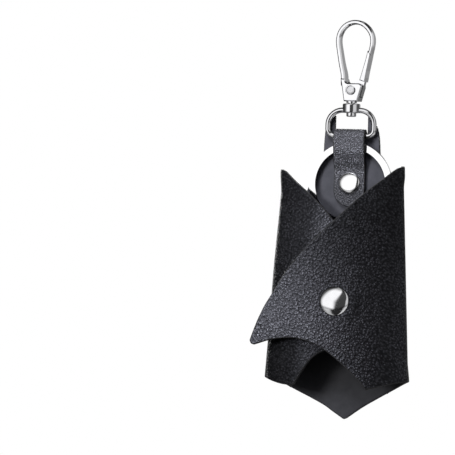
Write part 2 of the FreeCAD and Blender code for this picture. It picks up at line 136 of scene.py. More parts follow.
def catmull(points, step=0.45):
    """Even points along a smooth curve, the first point included and the last left out."""
    p = [np.array(q, float) for q in points]
    if len(p) == 2:
        count = max(1, int(np.linalg.norm(p[1] - p[0]) / step))
        return [p[0] + (p[1] - p[0]) * i / count for i in range(count)]
    p = [2 * p[0] - p[1]] + p + [2 * p[-1] - p[-2]]
    out = []
    for a, b, c, d in zip(p, p[1:], p[2:], p[3:]):
        count = max(1, int(np.linalg.norm(c - b) / step))
        for k in range(count):
            t = k / count
            out.append(0.5 * (2 * b + (c - a) * t + (2 * a - 5 * b + 4 * c - d) * t * t
                              + (3 * b - a - 3 * c + d) * t ** 3))
    return out


def outline(runs, end):
    """Smooth runs with a corner between each. A run ends where the next starts, the last at end."""
    points = []
    for run, following in zip(runs, runs[1:] + [[end]]):
        points += catmull(run + [following[0]])
    return points


# ---------------------------------------------------------------- the two folds
def right_side(z):
    return 22.50 - 0.060 * z + 0.40 * fall(z, -24.0, 8.0) + 0.50 * rise(z, 36.5, 5.0)


def left_side(z):
    return (-26.2 + 0.050 * z - 0.90 * rise(z, 33.5, 8.5)
            - 0.28 * np.exp(-((z - 8.0) / 17.0) ** 2))


def right_radius(z):
    return 9.4 + FOLD_SLOPE * (z + 32.0)


def left_radius(z):
    return right_radius(z) - (LEATHER + GAP) / 2.0


def right_fold(z):
    """Radius of the right fold and X of its axis."""
    radius = right_radius(z)
    return radius, right_side(z) - radius


def left_fold(z):
    """Radius of the left fold and X of its axis."""
    radius = left_radius(z)
    return radius, left_side(z) + radius


# ---------------------------------------------------------------- forming rules
# Each carries flat points, mm, to the formed outer face.
def calm(x, z):
    """Zero under the snap, one well clear of it."""
    return rise(distance(x, z, SNAP), 4.8, 5.0)


def ellipse_drop(depth, share):
    return depth * (1 - np.sqrt(np.maximum(1 - share * share, 0)))


def fold_drop(radius, over):
    """How far a round fold has already fallen away at a distance past its axis."""
    return radius - np.sqrt(np.maximum(radius * radius - np.maximum(over, 0) ** 2, 0))


def front_dip(x, z):
    """How far the flap falls back from the snap's plane.

    The right side is a shallow half-ellipse out to the fold, the left side a slight bow.
    """
    radius, axis = right_fold(z)
    share = np.clip((x - BOW_RIGHT) / (right_side(z) - BOW_RIGHT), 0, 1)
    bow = 0.0048 * np.maximum(BOW_LEFT - x, 0) ** 2
    return (ellipse_drop(radius, share) + bow) * calm(x, z) - fold_drop(radius, x - axis)


def wing_dip(x, z):
    """The wing lies against the flap in the middle and falls away towards the left fold."""
    radius, axis = left_fold(z)
    share = np.clip((BOW_LEFT - x) / (BOW_LEFT - left_side(z)), 0, 1)
    return ellipse_drop(radius, share) * calm(x, z) - fold_drop(radius, axis - x)


def form_case(a, z):
    """Back and flap. a is X on the flat back, then runs round the right fold and across the front."""
    right, right_axis = right_fold(z)
    left, left_axis = left_fold(z)
    x, y = a.copy(), np.zeros_like(a)
    # the back's share of the left fold
    on = a < left_axis
    angle = (left_axis[on] - a[on]) / left[on]
    x[on] = left_axis[on] - left[on] * np.sin(angle)
    y[on] = -left[on] + left[on] * np.cos(angle)
    # right fold, a half turn
    turn = (a - right_axis) / right
    on = (turn > 0) & (turn < math.pi)
    angle = turn[on]
    x[on] = right_axis[on] + right[on] * np.sin(angle)
    y[on] = -right[on] + right[on] * np.cos(angle)
    # flap
    on = turn >= math.pi
    x[on] = right_axis[on] - (a[on] - right_axis[on] - math.pi * right[on])
    y[on] = -2 * right[on]
    # the front layer bows back on both sides of the snap and its free edge lifts a little
    past_side = turn > QUARTER
    front = rise(turn, QUARTER, QUARTER) * past_side
    lift = 0.8 * fall(x, -14.0, 17.0) * on * fall(z, 6.0, 20.0)
    ripple = front * calm(x, z) ** 2 * 0.20 * waves(x, z, seed=3, size=30.0)
    y += front_dip(x, z) * past_side - lift + ripple
    # the back ripples low down, is pressed in under the rivet and its foot swings forward
    back = (turn < 0) & (a > left_axis)
    ripple = (0.12 * (0.5 + 0.5 * waves(a, z, seed=5, size=40.0)) * rise(a, left_axis, 6)
              * fall(a, right_axis, 6) * fall(z, -12.0, 14.0))
    press = 0.22 * (1.0 - rise(distance(a, z, RIVET_SEAT), 3.5, 0.9))
    swing = 0.9 * fall(z, -33.0, 16.0)
    y -= np.where(back, ripple + press + swing, 0)
    return np.stack([x, y, z], 1)


def form_wing(a, z):
    """Wing. a is the distance from the middle of the left fold, round it and across the front."""
    radius, axis = left_fold(z)
    turn = a / radius
    bent = turn < QUARTER
    x = np.where(bent, axis - radius * np.cos(turn), axis + (a - radius * QUARTER))
    y = np.where(bent, -radius - radius * np.sin(turn), -2 * radius)
    y += wing_dip(x, z)
    y += rise(turn, 0.0, QUARTER) * calm(x, z) ** 2 * 0.15 * waves(x, z, seed=11, size=34.0)
    return np.stack([x, y, z], 1)


def strap_path():
    """Rows of length along the strap's outer face, Y and Z, from its root over and down the front."""
    points = []
    for k in range(61):
        angle = math.pi * k / 60
        points.append((-STRAP_BEND + STRAP_BEND * math.cos(angle),
                       STRAP_ROOT + STRAP_BEND * math.sin(angle)))
    front = -2 * STRAP_BEND
    # distance back from the bend's front, Z
    descent = [(0.0, STRAP_ROOT), (0.0, 52.0), (0.02, 50.2), (0.45, 48.4), (1.55, 46.0),
               (2.62, 43.8), (2.98, 42.2), (3.02, 40.5), (3.02, 29.0)]
    points += catmull([(front + setback, z) for setback, z in descent], 0.2)[1:]
    points += [(front + descent[-1][0], z) for z in (descent[-1][1], STRAP_PATH_END)]
    points = np.array(points)
    steps = np.linalg.norm(np.diff(points, axis=0), axis=1)
    return np.column_stack([np.concatenate([[0], np.cumsum(steps)]), points])


STRAP_PATH = strap_path()
STRAP_LENGTH = float(STRAP_PATH[-1, 0] - (STRAP_TIP - STRAP_PATH_END))


def form_strap(x, s):
    """Strap. x stays, s is the length along STRAP_PATH."""
    length, y, z = STRAP_PATH.T
    return np.stack([x, np.interp(s, length, y), np.interp(s, length, z)], 1)


# ---------------------------------------------------------------- building a sheet
def inside(points, polygon):
    x, y = points[:, 0], points[:, 1]
    result = np.zeros(len(points), bool)
    for (x0, y0), (x1, y1) in zip(polygon, np.roll(polygon, -1, 0)):
        if y0 == y1:
            continue
        result ^= ((y0 > y) != (y1 > y)) & (x < (x1 - x0) * (y - y0) / (y1 - y0) + x0)
    return result


def far_from(points, polygon, clearance):
    nearest = np.full(len(points), 1e9)
    for start, end in zip(polygon, np.roll(polygon, -1, 0)):
        side = end - start
        share = np.clip(((points - start) @ side) / (side @ side + 1e-12), 0, 1)
        offset = points - (start + share[:, None] * side)
        nearest = np.minimum(nearest, np.einsum("ij,ij->i", offset, offset))
    return nearest > clearance * clearance


def draw_in(loop, opened, rim):
    """The outline moved inwards by the rim.

    Open edges stay where they are, so that two sheets meet there without a step.
    """
    before = loop - np.roll(loop, 1, 0)
    after = np.roll(loop, -1, 0) - loop
    inward = unit(sum(unit(np.stack([-side[:, 1], side[:, 0]], 1)) for side in (before, after)))
    for i in np.where(opened)[0]:
        open_before, open_after = opened[i - 1], opened[(i + 1) % len(loop)]
        if open_before and open_after:
            inward[i] = 0
        elif open_before:
            inward[i] = -before[i] / np.linalg.norm(before[i])
        else:
            inward[i] = after[i] / np.linalg.norm(after[i])
    return loop + inward * rim


def grid_inside(polygon, spacing):
    """Slightly scattered points on a triangular grid, kept clear of the outline."""
    low, high = polygon.min(0), polygon.max(0)
    rows = []
    y = low[1]
    while y < high[1]:
        xs = np.arange(low[0] + (spacing / 2 if len(rows) % 2 else 0), high[0], spacing)
        rows.append(np.stack([xs, np.full(len(xs), y)], 1))
        y += spacing * 0.866
    points = np.concatenate(rows)
    points = points + rng.uniform(-0.06, 0.06, points.shape) * spacing
    points = points[inside(points, polygon)]
    return points[far_from(points, polygon, spacing * 0.55)]


def edge_profile(rim):
    """Share of the rim outwards and depth: rounded at both faces, straight between."""
    rounded = []
    for k in range(1, 4):
        angle = QUARTER * k / 3
        rounded.append((math.sin(angle), rim * (1 - math.cos(angle))))
    rear = [(share, LEATHER - depth) for share, depth in reversed(rounded)]
    return rounded + [(1.0, LEATHER / 2)] + rear


def form_with_normals(form, a, b, reverse):
    e = 0.12
    normal = unit(np.cross(form(a + e, b) - form(a - e, b), form(a, b + e) - form(a, b - e)))
    return form(a, b), -normal if reverse else normal


def add_object(name, data):
    made = bpy.data.objects.new(name, data)
    bpy.context.scene.collection.objects.link(made)
    return made


def build_sheet(name, loop, form, spacing, is_open, rim=0.30, reverse=False):
    """One piece of leather: a flat outline, formed and given its thickness.

    is_open marks outline points where the cut edge is left off. reverse is set where the two
    flat axes, crossed, point to the inner face. Material 0 is the outer face, 1 the inner face
    and 2 the cut edge.
    """
    loop = np.array(loop)
    following = np.roll(loop, -1, 0)
    if np.sum(loop[:, 0] * following[:, 1] - following[:, 0] * loop[:, 1]) < 0:
        loop = loop[::-1].copy()
    count = len(loop)
    opened = is_open(loop[:, 0], loop[:, 1])
    inset = draw_in(loop, opened, rim)
    points = [Vector(p) for p in inset] + [Vector(p) for p in grid_inside(inset, spacing)]
    borders = [(i, (i + 1) % count) for i in range(count)]
    plan, _, triangles, sources, _, _ = delaunay_2d_cdt(points, borders, [], 1, 1e-6)
    plan = np.array([tuple(p) for p in plan])
    place = {old: new for new, olds in enumerate(sources) for old in olds}
    ring = [place[i] for i in range(count)]

    # the two faces
    outer, normal = form_with_normals(form, plan[:, 0], plan[:, 1], reverse)
    co, flat = [outer, outer - normal * LEATHER], [plan, plan]
    base = len(plan)
    faces, slots = [], []
    for triangle in triangles:
        corners = list(triangle)
        a, b, c = (plan[i] for i in corners)
        if (b[0] - a[0]) * (c[1] - a[1]) - (b[1] - a[1]) * (c[0] - a[0]) < 0:
            corners = corners[::-1]
        faces += [tuple(corners), tuple(base + i for i in reversed(corners))]
        slots += [0, 1]

    # the cut edge
    rings = [ring]
    start = 2 * base
    for share, depth in edge_profile(rim):
        edge = inset + (loop - inset) * share
        outer, normal = form_with_normals(form, edge[:, 0], edge[:, 1], reverse)
        co.append(outer - normal * depth)
        flat.append(edge)
        rings.append(list(range(start, start + count)))
        start += count
    rings.append([base + i for i in ring])
    for upper, lower in zip(rings, rings[1:]):
        for i, j in borders:
            if not (opened[i] and opened[j]):
                faces.append((upper[i], lower[i], lower[j], upper[j]))
                slots.append(2)
    if reverse:
        faces = [face[::-1] for face in faces]

    # points without a face are left out
    co, flat = np.concatenate(co) * MM, np.concatenate(flat)
    used = np.zeros(len(co), bool)
    used[np.concatenate([np.array(face) for face in faces])] = True
    number = np.cumsum(used) - 1
    faces = [tuple(int(number[i]) for i in face) for face in faces]
    co, flat = co[used], flat[used]

    mesh = bpy.data.meshes.new(name)
    mesh.from_pydata([tuple(c) for c in co], [], faces)
    mesh.polygons.foreach_set("material_index", np.array(slots, np.int32))
    mesh.polygons.foreach_set("use_smooth", np.ones(len(faces), bool))
    flat_3d = np.zeros((len(flat), 3), np.float32)
    flat_3d[:, :2] = flat
    mesh.attributes.new("flat", "FLOAT_VECTOR", "POINT").data.foreach_set("vector", flat_3d.ravel())
    mesh.update()
    return add_object(name, mesh)


# ---------------------------------------------------------------- from formed X to flat places
def front_flat(x, z):
    """A point on the front, or on the front half of the right fold."""
    radius, axis = right_fold(z)
    if x <= axis:
        return axis + math.pi * radius + (axis - x)
    return axis + radius * (math.pi - math.asin(min(1.0, (x - axis) / radius)))


def back_flat(x, z):
    radius, axis = right_fold(z)
    if x > axis:
        return axis + radius * math.asin(min(1.0, (x - axis) / radius))
    radius, axis = left_fold(z)
    if x < axis:
        return axis - radius * math.asin(min(1.0, (axis - x) / radius))
    return x


def wing_flat(x, z):
    radius, axis = left_fold(z)
    if x >= axis:
        return radius * QUARTER + (x - axis)
    return radius * math.acos(max(-1.0, min(1.0, (axis - x) / radius)))


def split_right(z):
    """Middle of the right fold."""
    radius, axis = right_fold(z)
    return axis + radius * QUARTER


def split_left(z):
    """Middle of the left fold, where the back meets the wing."""
    radius, axis = left_fold(z)
    return axis - radius * QUARTER


def on_flat(flatten, points):
    return [(flatten(x, z), z) for x, z in points]


# ---------------------------------------------------------------- outlines
# Points inside on_flat are formed X and Z, the others are flat places. Each run ends where the
# next one starts.
HORN_TIP = 44.5
SEAM = np.linspace(SEAM_TOP, SEAM_FOOT, 160)

CASE_RUNS = [
    # foot of the back, left of its point
    [(split_left(SEAM_FOOT), SEAM_FOOT)] + on_flat(back_flat, [
        (-24.4, -33.5), (-21.1, -34.8), (-16.8, -36.8), (-12.05, -39.0), (-7.25, -41.4),
        (-4.2, -43.4)]),
    # its point
    [(-0.75, -45.6), (0.17, -46.05)],
    # right of the point
    [(1.3, -45.6), (6.4, -41.9), (11.3, -38.85), (17.8, -35.1), (back_flat(22.5, -32.6), -32.6)],
    # lower edge of the flap
    [(split_right(SPLIT_FOOT), SPLIT_FOOT)] + on_flat(front_flat, [
        (23.5, -31.7), (19.1, -32.6), (15.8, -33.5)]),
    # its lower corner
    on_flat(front_flat, [(12.3, -34.3), (11.0, -34.6)]),
    # the arch up to the tip
    on_flat(front_flat, [
        (10.4, -34.0), (8.2, -31.4), (5.4, -28.7), (3.6, -27.1), (0.3, -24.4), (-3.1, -21.9),
        (-6.3, -19.9), (-9.6, -18.5), (-12.8, -17.7), (-16.0, -17.3), (-20.7, -17.5),
        (-25.4, -18.4), (-28.5, -19.4)]),
    # tip of the flap
    on_flat(front_flat, [(-30.7, -20.1), (-31.6, -19.8)]),
    # upper edge of the flap
    on_flat(front_flat, [
        (-32.2, -18.6), (-31.45, -16.3), (-29.75, -11.7), (-27.4, -6.4), (-24.8, -1.9),
        (-22.4, 2.3), (-19.9, 6.4), (-16.3, 11.2), (-12.2, 15.8), (-7.6, 20.7), (-3.2, 25.0),
        (1.2, 29.2), (4.2, 32.2), (8.1, 35.6), (11.1, 38.0)]),
    # right horn, front then back
    on_flat(front_flat, [(15.0, 41.2), (17.4, 43.1), (19.0, 44.0)]),
    [(split_right(HORN_TIP) - 0.35, HORN_TIP), (split_right(44.2) - 1.6, 44.1),
     (back_flat(18.6, 42.2), 42.2), (17.6, 39.8)],
    # right side of the neck and right ear
    [(16.3, 38.5), (15.1, 40.2), (13.84, 42.16), (12.3, 44.2), (11.1, 46.6), (10.55, 49.0),
     (10.4, 51.5), (10.15, 54.4), (9.66, 57.1), (8.86, 59.0), (7.6, 60.7)],
    # the notch, with the strap's root across its floor
    [(NOTCH_RIGHT, EAR_TOP)], [(NOTCH_RIGHT, STRAP_ROOT)], [(STRAP_RIGHT, STRAP_ROOT)],
    [(STRAP_LEFT, STRAP_ROOT)], [(NOTCH_LEFT, STRAP_ROOT)],
    # left ear and left side of the neck
    [(NOTCH_LEFT, EAR_TOP), (-7.7, 60.8), (-8.9, 59.0), (-9.6, 57.0), (-9.85, 54.4),
     (-10.0, 51.5), (-10.1, 48.9), (-10.8, 46.3), (-12.0, 43.8), (-13.5, 41.2), (-14.6, 38.4),
     (-15.3, 36.2)],
    # left horn
    [(-15.9, 34.8), (-17.6, 35.5), (-20.2, 37.5), (back_flat(-22.6, 40.4), 40.4)],
]

WING_RUNS = [
    # from the top of the seam over and down the free edge
    [(0.0, SEAM_TOP)] + on_flat(wing_flat, [
        (-23.2, 42.0), (-21.3, 40.6), (-18.5, 38.2), (-15.0, 35.4), (-11.3, 32.3), (-7.4, 28.7),
        (-4.3, 25.2), (0.6, 18.5), (4.0, 11.0), (5.6, 3.0), (5.6, -6.0), (3.6, -14.0),
        (0.0, -19.3), (-4.2, -21.2), (-7.2, -22.5), (-10.0, -24.9), (-12.9, -29.0)]),
    # lower corner
    on_flat(wing_flat, [(-15.0, -32.6), (-15.7, -33.6)]),
    # lower edge
    on_flat(wing_flat, [(-16.9, -34.1), (-20.7, -33.7), (-24.2, -32.9), (-26.6, -32.1)]),
]


def case_open(a, z):
    """The seam down the left fold and the strap's root."""
    seam = np.abs(a - split_left(z)) < 1e-6
    root = (np.abs(z - STRAP_ROOT) < 1e-6) & (a > STRAP_LEFT - 1e-6) & (a < STRAP_RIGHT + 1e-6)
    return seam | root


def strap_outline():
    """Straight sides and a round end, from the root at length 0."""
    middle = (STRAP_LEFT + STRAP_RIGHT) / 2
    radius = (STRAP_RIGHT - STRAP_LEFT) / 2
    straight = STRAP_LENGTH - radius
    loop = outline([[(STRAP_LEFT, 0.0)], [(STRAP_RIGHT, 0.0)]], (STRAP_RIGHT, straight))
    loop += [np.array((middle + radius * math.cos(t), straight + radius * math.sin(t)))
             for t in np.linspace(0, math.pi, 44)[:-1]]
    return loop + outline([[(STRAP_LEFT, straight)]], (STRAP_LEFT, 0.0))


case_loop = outline(CASE_RUNS, (split_left(SEAM_TOP), SEAM_TOP))
case_loop += [np.array((split_left(z), z)) for z in SEAM[:-1]]
wing_loop = outline(WING_RUNS, (0.0, SEAM_FOOT))
wing_loop += [np.array((0.0, z)) for z in SEAM[::-1][:-1]]

case_leather = build_sheet("case_leather", case_loop, form_case, spacing=0.56,
                           is_open=case_open, reverse=True)
wing_leather = build_sheet("wing_leather", wing_loop, form_wing, spacing=0.50,
                           is_open=lambda a, z: np.abs(a) < 1e-6)
strap_leather = build_sheet("strap_leather", strap_outline(), form_strap, spacing=0.36,
                            is_open=lambda x, s: np.abs(s) < 1e-6, rim=0.26, reverse=True)


# ---------------------------------------------------------------- shader building
class Graph:
    """Adds nodes to one shader tree.

    A node or socket given as an input is linked, anything else is set as its value. Named inputs
    start with a capital, node settings with a small letter and come first.
    """

    def __init__(self, tree):
        self.tree = tree
        tree.nodes.clear()

    def feed(self, socket, value):
        if isinstance(value, bpy.types.Node):
            value = value.outputs[0]
        if isinstance(value, bpy.types.NodeSocket):
            self.tree.links.new(value, socket)
        else:
            socket.default_value = value

    def add(self, kind, *values, **named):
        made = self.tree.nodes.new("ShaderNode" + kind)
        for name, value in named.items():
            if name[0].islower():
                setattr(made, name, value)
            else:
                self.feed(made.inputs[name.replace("_", " ")], value)
        for socket, value in zip(made.inputs, values):
            self.feed(socket, value)
        return made

    def math(self, operation, *values):
        return self.add("Math", *values, operation=operation)

    def vector(self, operation, *values):
        return self.add("VectorMath", *values, operation=operation)

    def noise(self, **inputs):
        return self.add("TexNoise", **inputs)

    def ramp(self, source, stops):
        """Stops are places from 0 to 1, each with a grey or a colour."""
        made = self.add("ValToRGB", source)
        elements = made.color_ramp.elements
        while len(elements) < len(stops):
            elements.new(0.5)
        for element, (place, value) in zip(elements, stops):
            element.position = place
            element.color = (*value, 1) if isinstance(value, tuple) else (value, value, value, 1)
        return made

    def multiply_colour(self, colour, shade):
        return self.add("Mix", data_type="RGBA", blend_type="MULTIPLY", Factor=1.0,
                        A=colour, B=shade).outputs["Result"]

    def flat(self):
        """The sheet's flat coordinates, mm."""
        return self.add("Attribute", attribute_name="flat").outputs["Vector"]

    def bearing(self, where):
        """Direction in plan, 0 to 1, with straight ahead of the case at 0.5."""
        ahead = self.math("MULTIPLY", where.outputs["Y"], -1.0)
        angle = self.math("ARCTAN2", where.outputs["X"], ahead)
        return self.math("MULTIPLY_ADD", angle, 1.0 / (2 * math.pi), 0.5)


def by_bearing(table):
    """Ramp stops from degrees: 0 is straight ahead of the case, positive to its right."""
    return [((degrees + 180.0) / 360.0, value) for degrees, value in table]


def new_material(name):
    made = bpy.data.materials.new(name)
    made.use_nodes = True
    return made, Graph(made.node_tree)


# ---------------------------------------------------------------- leather
# painted sheen: the gloss tables raise the shine where the leather should look lit and lower it where
# it should look shaded
PAINTED_SHEEN_LOW, PAINTED_SHEEN_SPAN = -60.0, 160.0    # range of flat coordinates the tables cover, mm


def leather_grain(name, dark, light, gloss, up, along=(), relief=0.00019, fineness=1.0):
    """Black pebbled outer face: rounded pebbles about 0.9 mm across with finer creases between.

    along and up are (flat coordinate in mm, gloss factor) tables for the sheet's two flat axes, a
    painted sheen that brightens and dulls places as light would.
    """
    made, g = new_material(name)
    flat = g.flat()
    warp = g.noise(Scale=1.1 * fineness, Detail=3.0, Vector=flat)
    warped = g.vector("MULTIPLY_ADD", warp.outputs["Color"], (0.7 / fineness,) * 3, flat)
    pebbles = g.add("TexVoronoi", feature="SMOOTH_F1", Scale=1.25 * fineness, Smoothness=0.35,
                    Vector=warped)
    creases = g.add("TexVoronoi", feature="SMOOTH_F1", Scale=2.8 * fineness, Vector=warped)
    fine = g.noise(Scale=7.0, Detail=4.0, Roughness=0.6, Vector=flat)
    broad = g.noise(Scale=0.10, Detail=3.0, Vector=flat)

    # relief: pebbles, creases, then fine noise
    pebble = g.math("SUBTRACT", 1.0, g.math("MULTIPLY", pebbles, 1.35))
    height = g.math("MULTIPLY_ADD", g.math("SUBTRACT", 1.0, creases), 0.30,
                    g.math("MULTIPLY", pebble, 0.80))
    height = g.math("MULTIPLY_ADD", fine, 0.12, height)
    bump = g.add("Bump", Strength=1.0, Distance=relief, Height=height)

    # pebble tops are paler and smoother than the creases: the pale tops are painted highlight and the
    # dark creases painted shade, under a slow random tone
    tone = g.math("ADD", g.math("MULTIPLY", pebble, 0.70), g.math("MULTIPLY", broad, 0.45))
    colour = g.ramp(tone, [(0.25, (dark, dark, dark * 1.12)),
                           (0.95, (light, light * 1.01, light * 1.13))])
    uneven = g.math("MULTIPLY_ADD", g.math("SUBTRACT", fine, 0.5), 0.28, pebble)
    shine = g.ramp(uneven, [(0.30, gloss * 0.42), (0.52, gloss * 0.88), (0.80, gloss * 1.20)])

    # painted sheen: the gloss is raised and lowered by place, as light would brighten and dull it;
    # factors are halved to fit a ramp
    where = g.add("SeparateXYZ", flat)
    for axis, table in (("X", along), ("Y", up)):
        if table:
            place = g.math("MULTIPLY_ADD", where.outputs[axis], 1.0 / PAINTED_SHEEN_SPAN,
                           -PAINTED_SHEEN_LOW / PAINTED_SHEEN_SPAN)
            factor = g.ramp(place, [((spot - PAINTED_SHEEN_LOW) / PAINTED_SHEEN_SPAN, value / 2.0)
                                    for spot, value in table])
            shine = g.math("MULTIPLY", shine, g.math("MULTIPLY", factor, 2.0))
    g.add("OutputMaterial", g.add(
        "BsdfPrincipled", Base_Color=colour, Roughness=g.ramp(tone, [(0.2, 0.40), (0.9, 0.29)]),
        Specular_IOR_Level=shine, Specular_Tint=(0.93, 0.95, 1.12, 1), Normal=bump))
    return made


def leather_smooth():
    """Smooth slate inner face with a faint nap."""
    made, g = new_material("leather_smooth")
    flat = g.flat()
    mottle = g.noise(Scale=0.35, Detail=5.0, Roughness=0.6, Vector=flat)
    nap = g.noise(Scale=9.0, Detail=3.0, Vector=flat)
    tone = g.math("ADD", g.math("MULTIPLY", mottle, 0.75), g.math("MULTIPLY", nap, 0.25))
    colour = g.ramp(tone, [(0.30, (0.036, 0.037, 0.047)), (0.75, (0.056, 0.057, 0.071))])
    # painted shadow: darkest about Z -24 mm under the flap's arch, a little lighter at the foot, full
    # from about Z 29 up; 0 is Z -50 mm, 1 is Z 60
    where = g.add("SeparateXYZ", flat)
    height = g.math("MULTIPLY_ADD", where.outputs["Y"], 1.0 / 110.0, 50.0 / 110.0)
    shade = g.ramp(height, [(0.0, 0.46), (0.09, 0.40), (0.16, 0.22), (0.24, 0.10), (0.40, 0.22),
                            (0.72, 1.0)])
    g.add("OutputMaterial", g.add(
        "BsdfPrincipled", Base_Color=g.multiply_colour(colour, shade),
        Roughness=g.ramp(tone, [(0.2, 0.66), (0.8, 0.52)]), Specular_IOR_Level=0.18,
        Normal=g.add("Bump", Strength=0.35, Distance=0.00005, Height=nap)))
    return made


def leather_edge():
    """Dull black cut edge."""
    made, g = new_material("leather_edge")
    mottle = g.noise(Scale=3.0, Detail=4.0, Vector=g.flat())
    colour = g.ramp(mottle, [(0.3, (0.004, 0.004, 0.0045)), (0.75, (0.013, 0.013, 0.014))])
    g.add("OutputMaterial", g.add(
        "BsdfPrincipled", Base_Color=colour, Roughness=0.60, Specular_IOR_Level=0.25,
        Normal=g.add("Bump", Strength=0.5, Distance=0.00006, Height=mottle)))
    return made


# painted sheen: gloss falls towards the top of the case
GRAIN = leather_grain(
    "leather_grain", dark=0.0026, light=0.0105, gloss=0.268,
    along=[(24.0, 1.25), (30.0, 0.80), (44.0, 0.60), (54.0, 0.90), (66.0, 1.55), (80.0, 2.0)],
    up=[(-30.0, 1.12), (-8.0, 1.02), (8.0, 0.78), (26.0, 0.40), (42.0, 0.38)])
WING_GRAIN = leather_grain(
    "wing_grain", dark=0.0026, light=0.0105, gloss=0.265,
    along=[(0.0, 0.6), (8.0, 0.26), (15.0, 0.34), (20.0, 1.15)],
    up=[(-32.0, 0.50), (-14.0, 0.75), (4.0, 1.0), (22.0, 1.35), (36.0, 0.8)])
SMOOTH, EDGE = leather_smooth(), leather_edge()
# painted light: the strap is the same black leather as the case, given a paler colour and a stronger,
# banded painted sheen where it catches more light
# the strap's places are measured back from its tip
PAINTED_LIT_STRAP_GRAIN = leather_grain(
    "strap_grain_painted_lit", dark=0.0180, light=0.0600, gloss=1.0, relief=0.00024, fineness=1.6,
    up=[(STRAP_LENGTH - back, value) for back, value in
        ((28.0, 0.95), (22.0, 0.95), (17.0, 1.9), (13.0, 1.0), (5.0, 0.50))])
for sheet, outer_face in ((case_leather, GRAIN), (wing_leather, WING_GRAIN),
                          (strap_leather, PAINTED_LIT_STRAP_GRAIN)):
    for material in (outer_face, SMOOTH, EDGE):
        sheet.data.materials.append(material)


# ---------------------------------------------------------------- metal
def metal(name, colour, rough, scratch, lean=None, rim=None):
    """Plated or bare metal.

    scratch is how far the roughness strays. lean is added to the shading normal. rim is a ramp
    of painted shade that darkens the metal's colour as it turns away from the viewer.
    """
    made, g = new_material(name)
    spot = g.add("Mapping", Vector=g.add("TexCoord").outputs["Object"])
    mottle = g.noise(Scale=260.0, Detail=4.0, Roughness=0.65, Vector=spot)
    grit = g.noise(Scale=2600.0, Detail=2.0, Vector=spot)
    tint = g.ramp(mottle, [(0.30, tuple(c * 0.90 for c in colour)), (0.70, colour)])
    # painted shade: the colour is darkened towards the outline as the surface turns from the viewer
    if rim:
        facing = g.add("LayerWeight", Blend=0.5).outputs["Facing"]
        tint = g.multiply_colour(tint, g.ramp(facing, rim))
    normal = g.add("Bump", Strength=0.10, Distance=0.00001, Height=grit)
    if lean:
        normal = g.vector("NORMALIZE", g.vector("ADD", normal, lean))
    g.add("OutputMaterial", g.add(
        "BsdfPrincipled", Base_Color=tint, Metallic=1.0, Normal=normal,
        Roughness=g.ramp(mottle, [(0.3, rough - scratch), (0.75, rough + scratch)])))
    return made


# the rims below are painted shade: dark outlines round the hook and D-ring, the snap cap and the
# rivet
CHROME = metal("chrome_plate", colour=(0.88, 0.88, 0.90), rough=0.07, scratch=0.03,
               rim=((0.10, 1.0), (0.30, 0.80), (0.62, 0.45)))
CAP = metal("snap_cap_plate", colour=(0.84, 0.84, 0.86), rough=0.10, scratch=0.04,
            rim=((0.24, 1.0), (0.40, 0.10)))
# the rivet's crown is pressed slightly off square
RIVET = metal("rivet_plate", colour=(0.95, 0.95, 0.96), rough=0.14, scratch=0.04,
              lean=(-0.20, 0.0, 0.10), rim=((0.42, 1.0), (0.66, 0.10)))
NICKEL = metal("satin_nickel", colour=(0.70, 0.69, 0.66), rough=0.26, scratch=0.08)
RING = metal("ring_nickel", colour=(0.97, 0.97, 0.98), rough=0.10, scratch=0.04,
             lean=(-0.09, 0.0, 0.03))
RING_EDGE = metal("ring_rolled_edge", colour=(0.97, 0.97, 0.98), rough=0.20, scratch=0.05,
                  lean=(0.0, -1.2, 0.0))
STEEL = metal("spring_steel_wire", colour=(0.60, 0.60, 0.61), rough=0.22, scratch=0.06)
PIN = metal("peened_pin", colour=(0.70, 0.70, 0.72), rough=0.20, scratch=0.08)

PLATING = {
    "strap_rivet_cap": RIVET, "strap_rivet_post": NICKEL, "snap_cap": CAP, "snap_socket": NICKEL,
    "snap_spring": STEEL, "snap_stud": NICKEL, "snap_post": NICKEL, "key_ring": RING,
    "d_ring": CHROME, "hook_body": CHROME, "gate": CHROME, "gate_pin": PIN, "gate_spring": STEEL,
}
for name, material in PLATING.items():
    data = NODES[name].data
    data.materials.clear()
    data.materials.append(material)
    for face in data.polygons:
        face.material_index = 0


def roll_ring_edge():
    """The split ring's outer edge is rolled over and catches the boards in front."""
    centre_x, centre_z = 0.0005, 0.0377
    ring = NODES["key_ring"]
    ring.data.materials.append(RING_EDGE)
    turn = ring.matrix_world.to_3x3()
    for face in ring.data.polygons:
        normal = (turn @ face.normal).normalized()
        centre = ring.matrix_world @ face.center
        outward = normal.x * (centre.x - centre_x) + normal.z * (centre.z - centre_z)
        if abs(normal.y) < 0.6 and outward > 0:
            face.material_index = 1


roll_ring_edge()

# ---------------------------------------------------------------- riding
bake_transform(case_leather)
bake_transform(wing_leather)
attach(strap_leather, "case_back")
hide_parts("back_panel", "front_flap")
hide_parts("inner_wing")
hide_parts("strap")

# the gate's coil gets a mesh of its own that rides with the hook
gate_spring = NODES["gate_spring"]
gate_coil = add_object("gate_coil", gate_spring.data.copy())
gate_coil.matrix_world = gate_spring.matrix_world.copy()
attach(gate_coil, "hook")
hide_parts("gate_spring")
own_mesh(gate_coil)

# ---------------------------------------------------------------- floor
FLOOR_RADIUS, FLOOR_Z = 0.9, -0.185


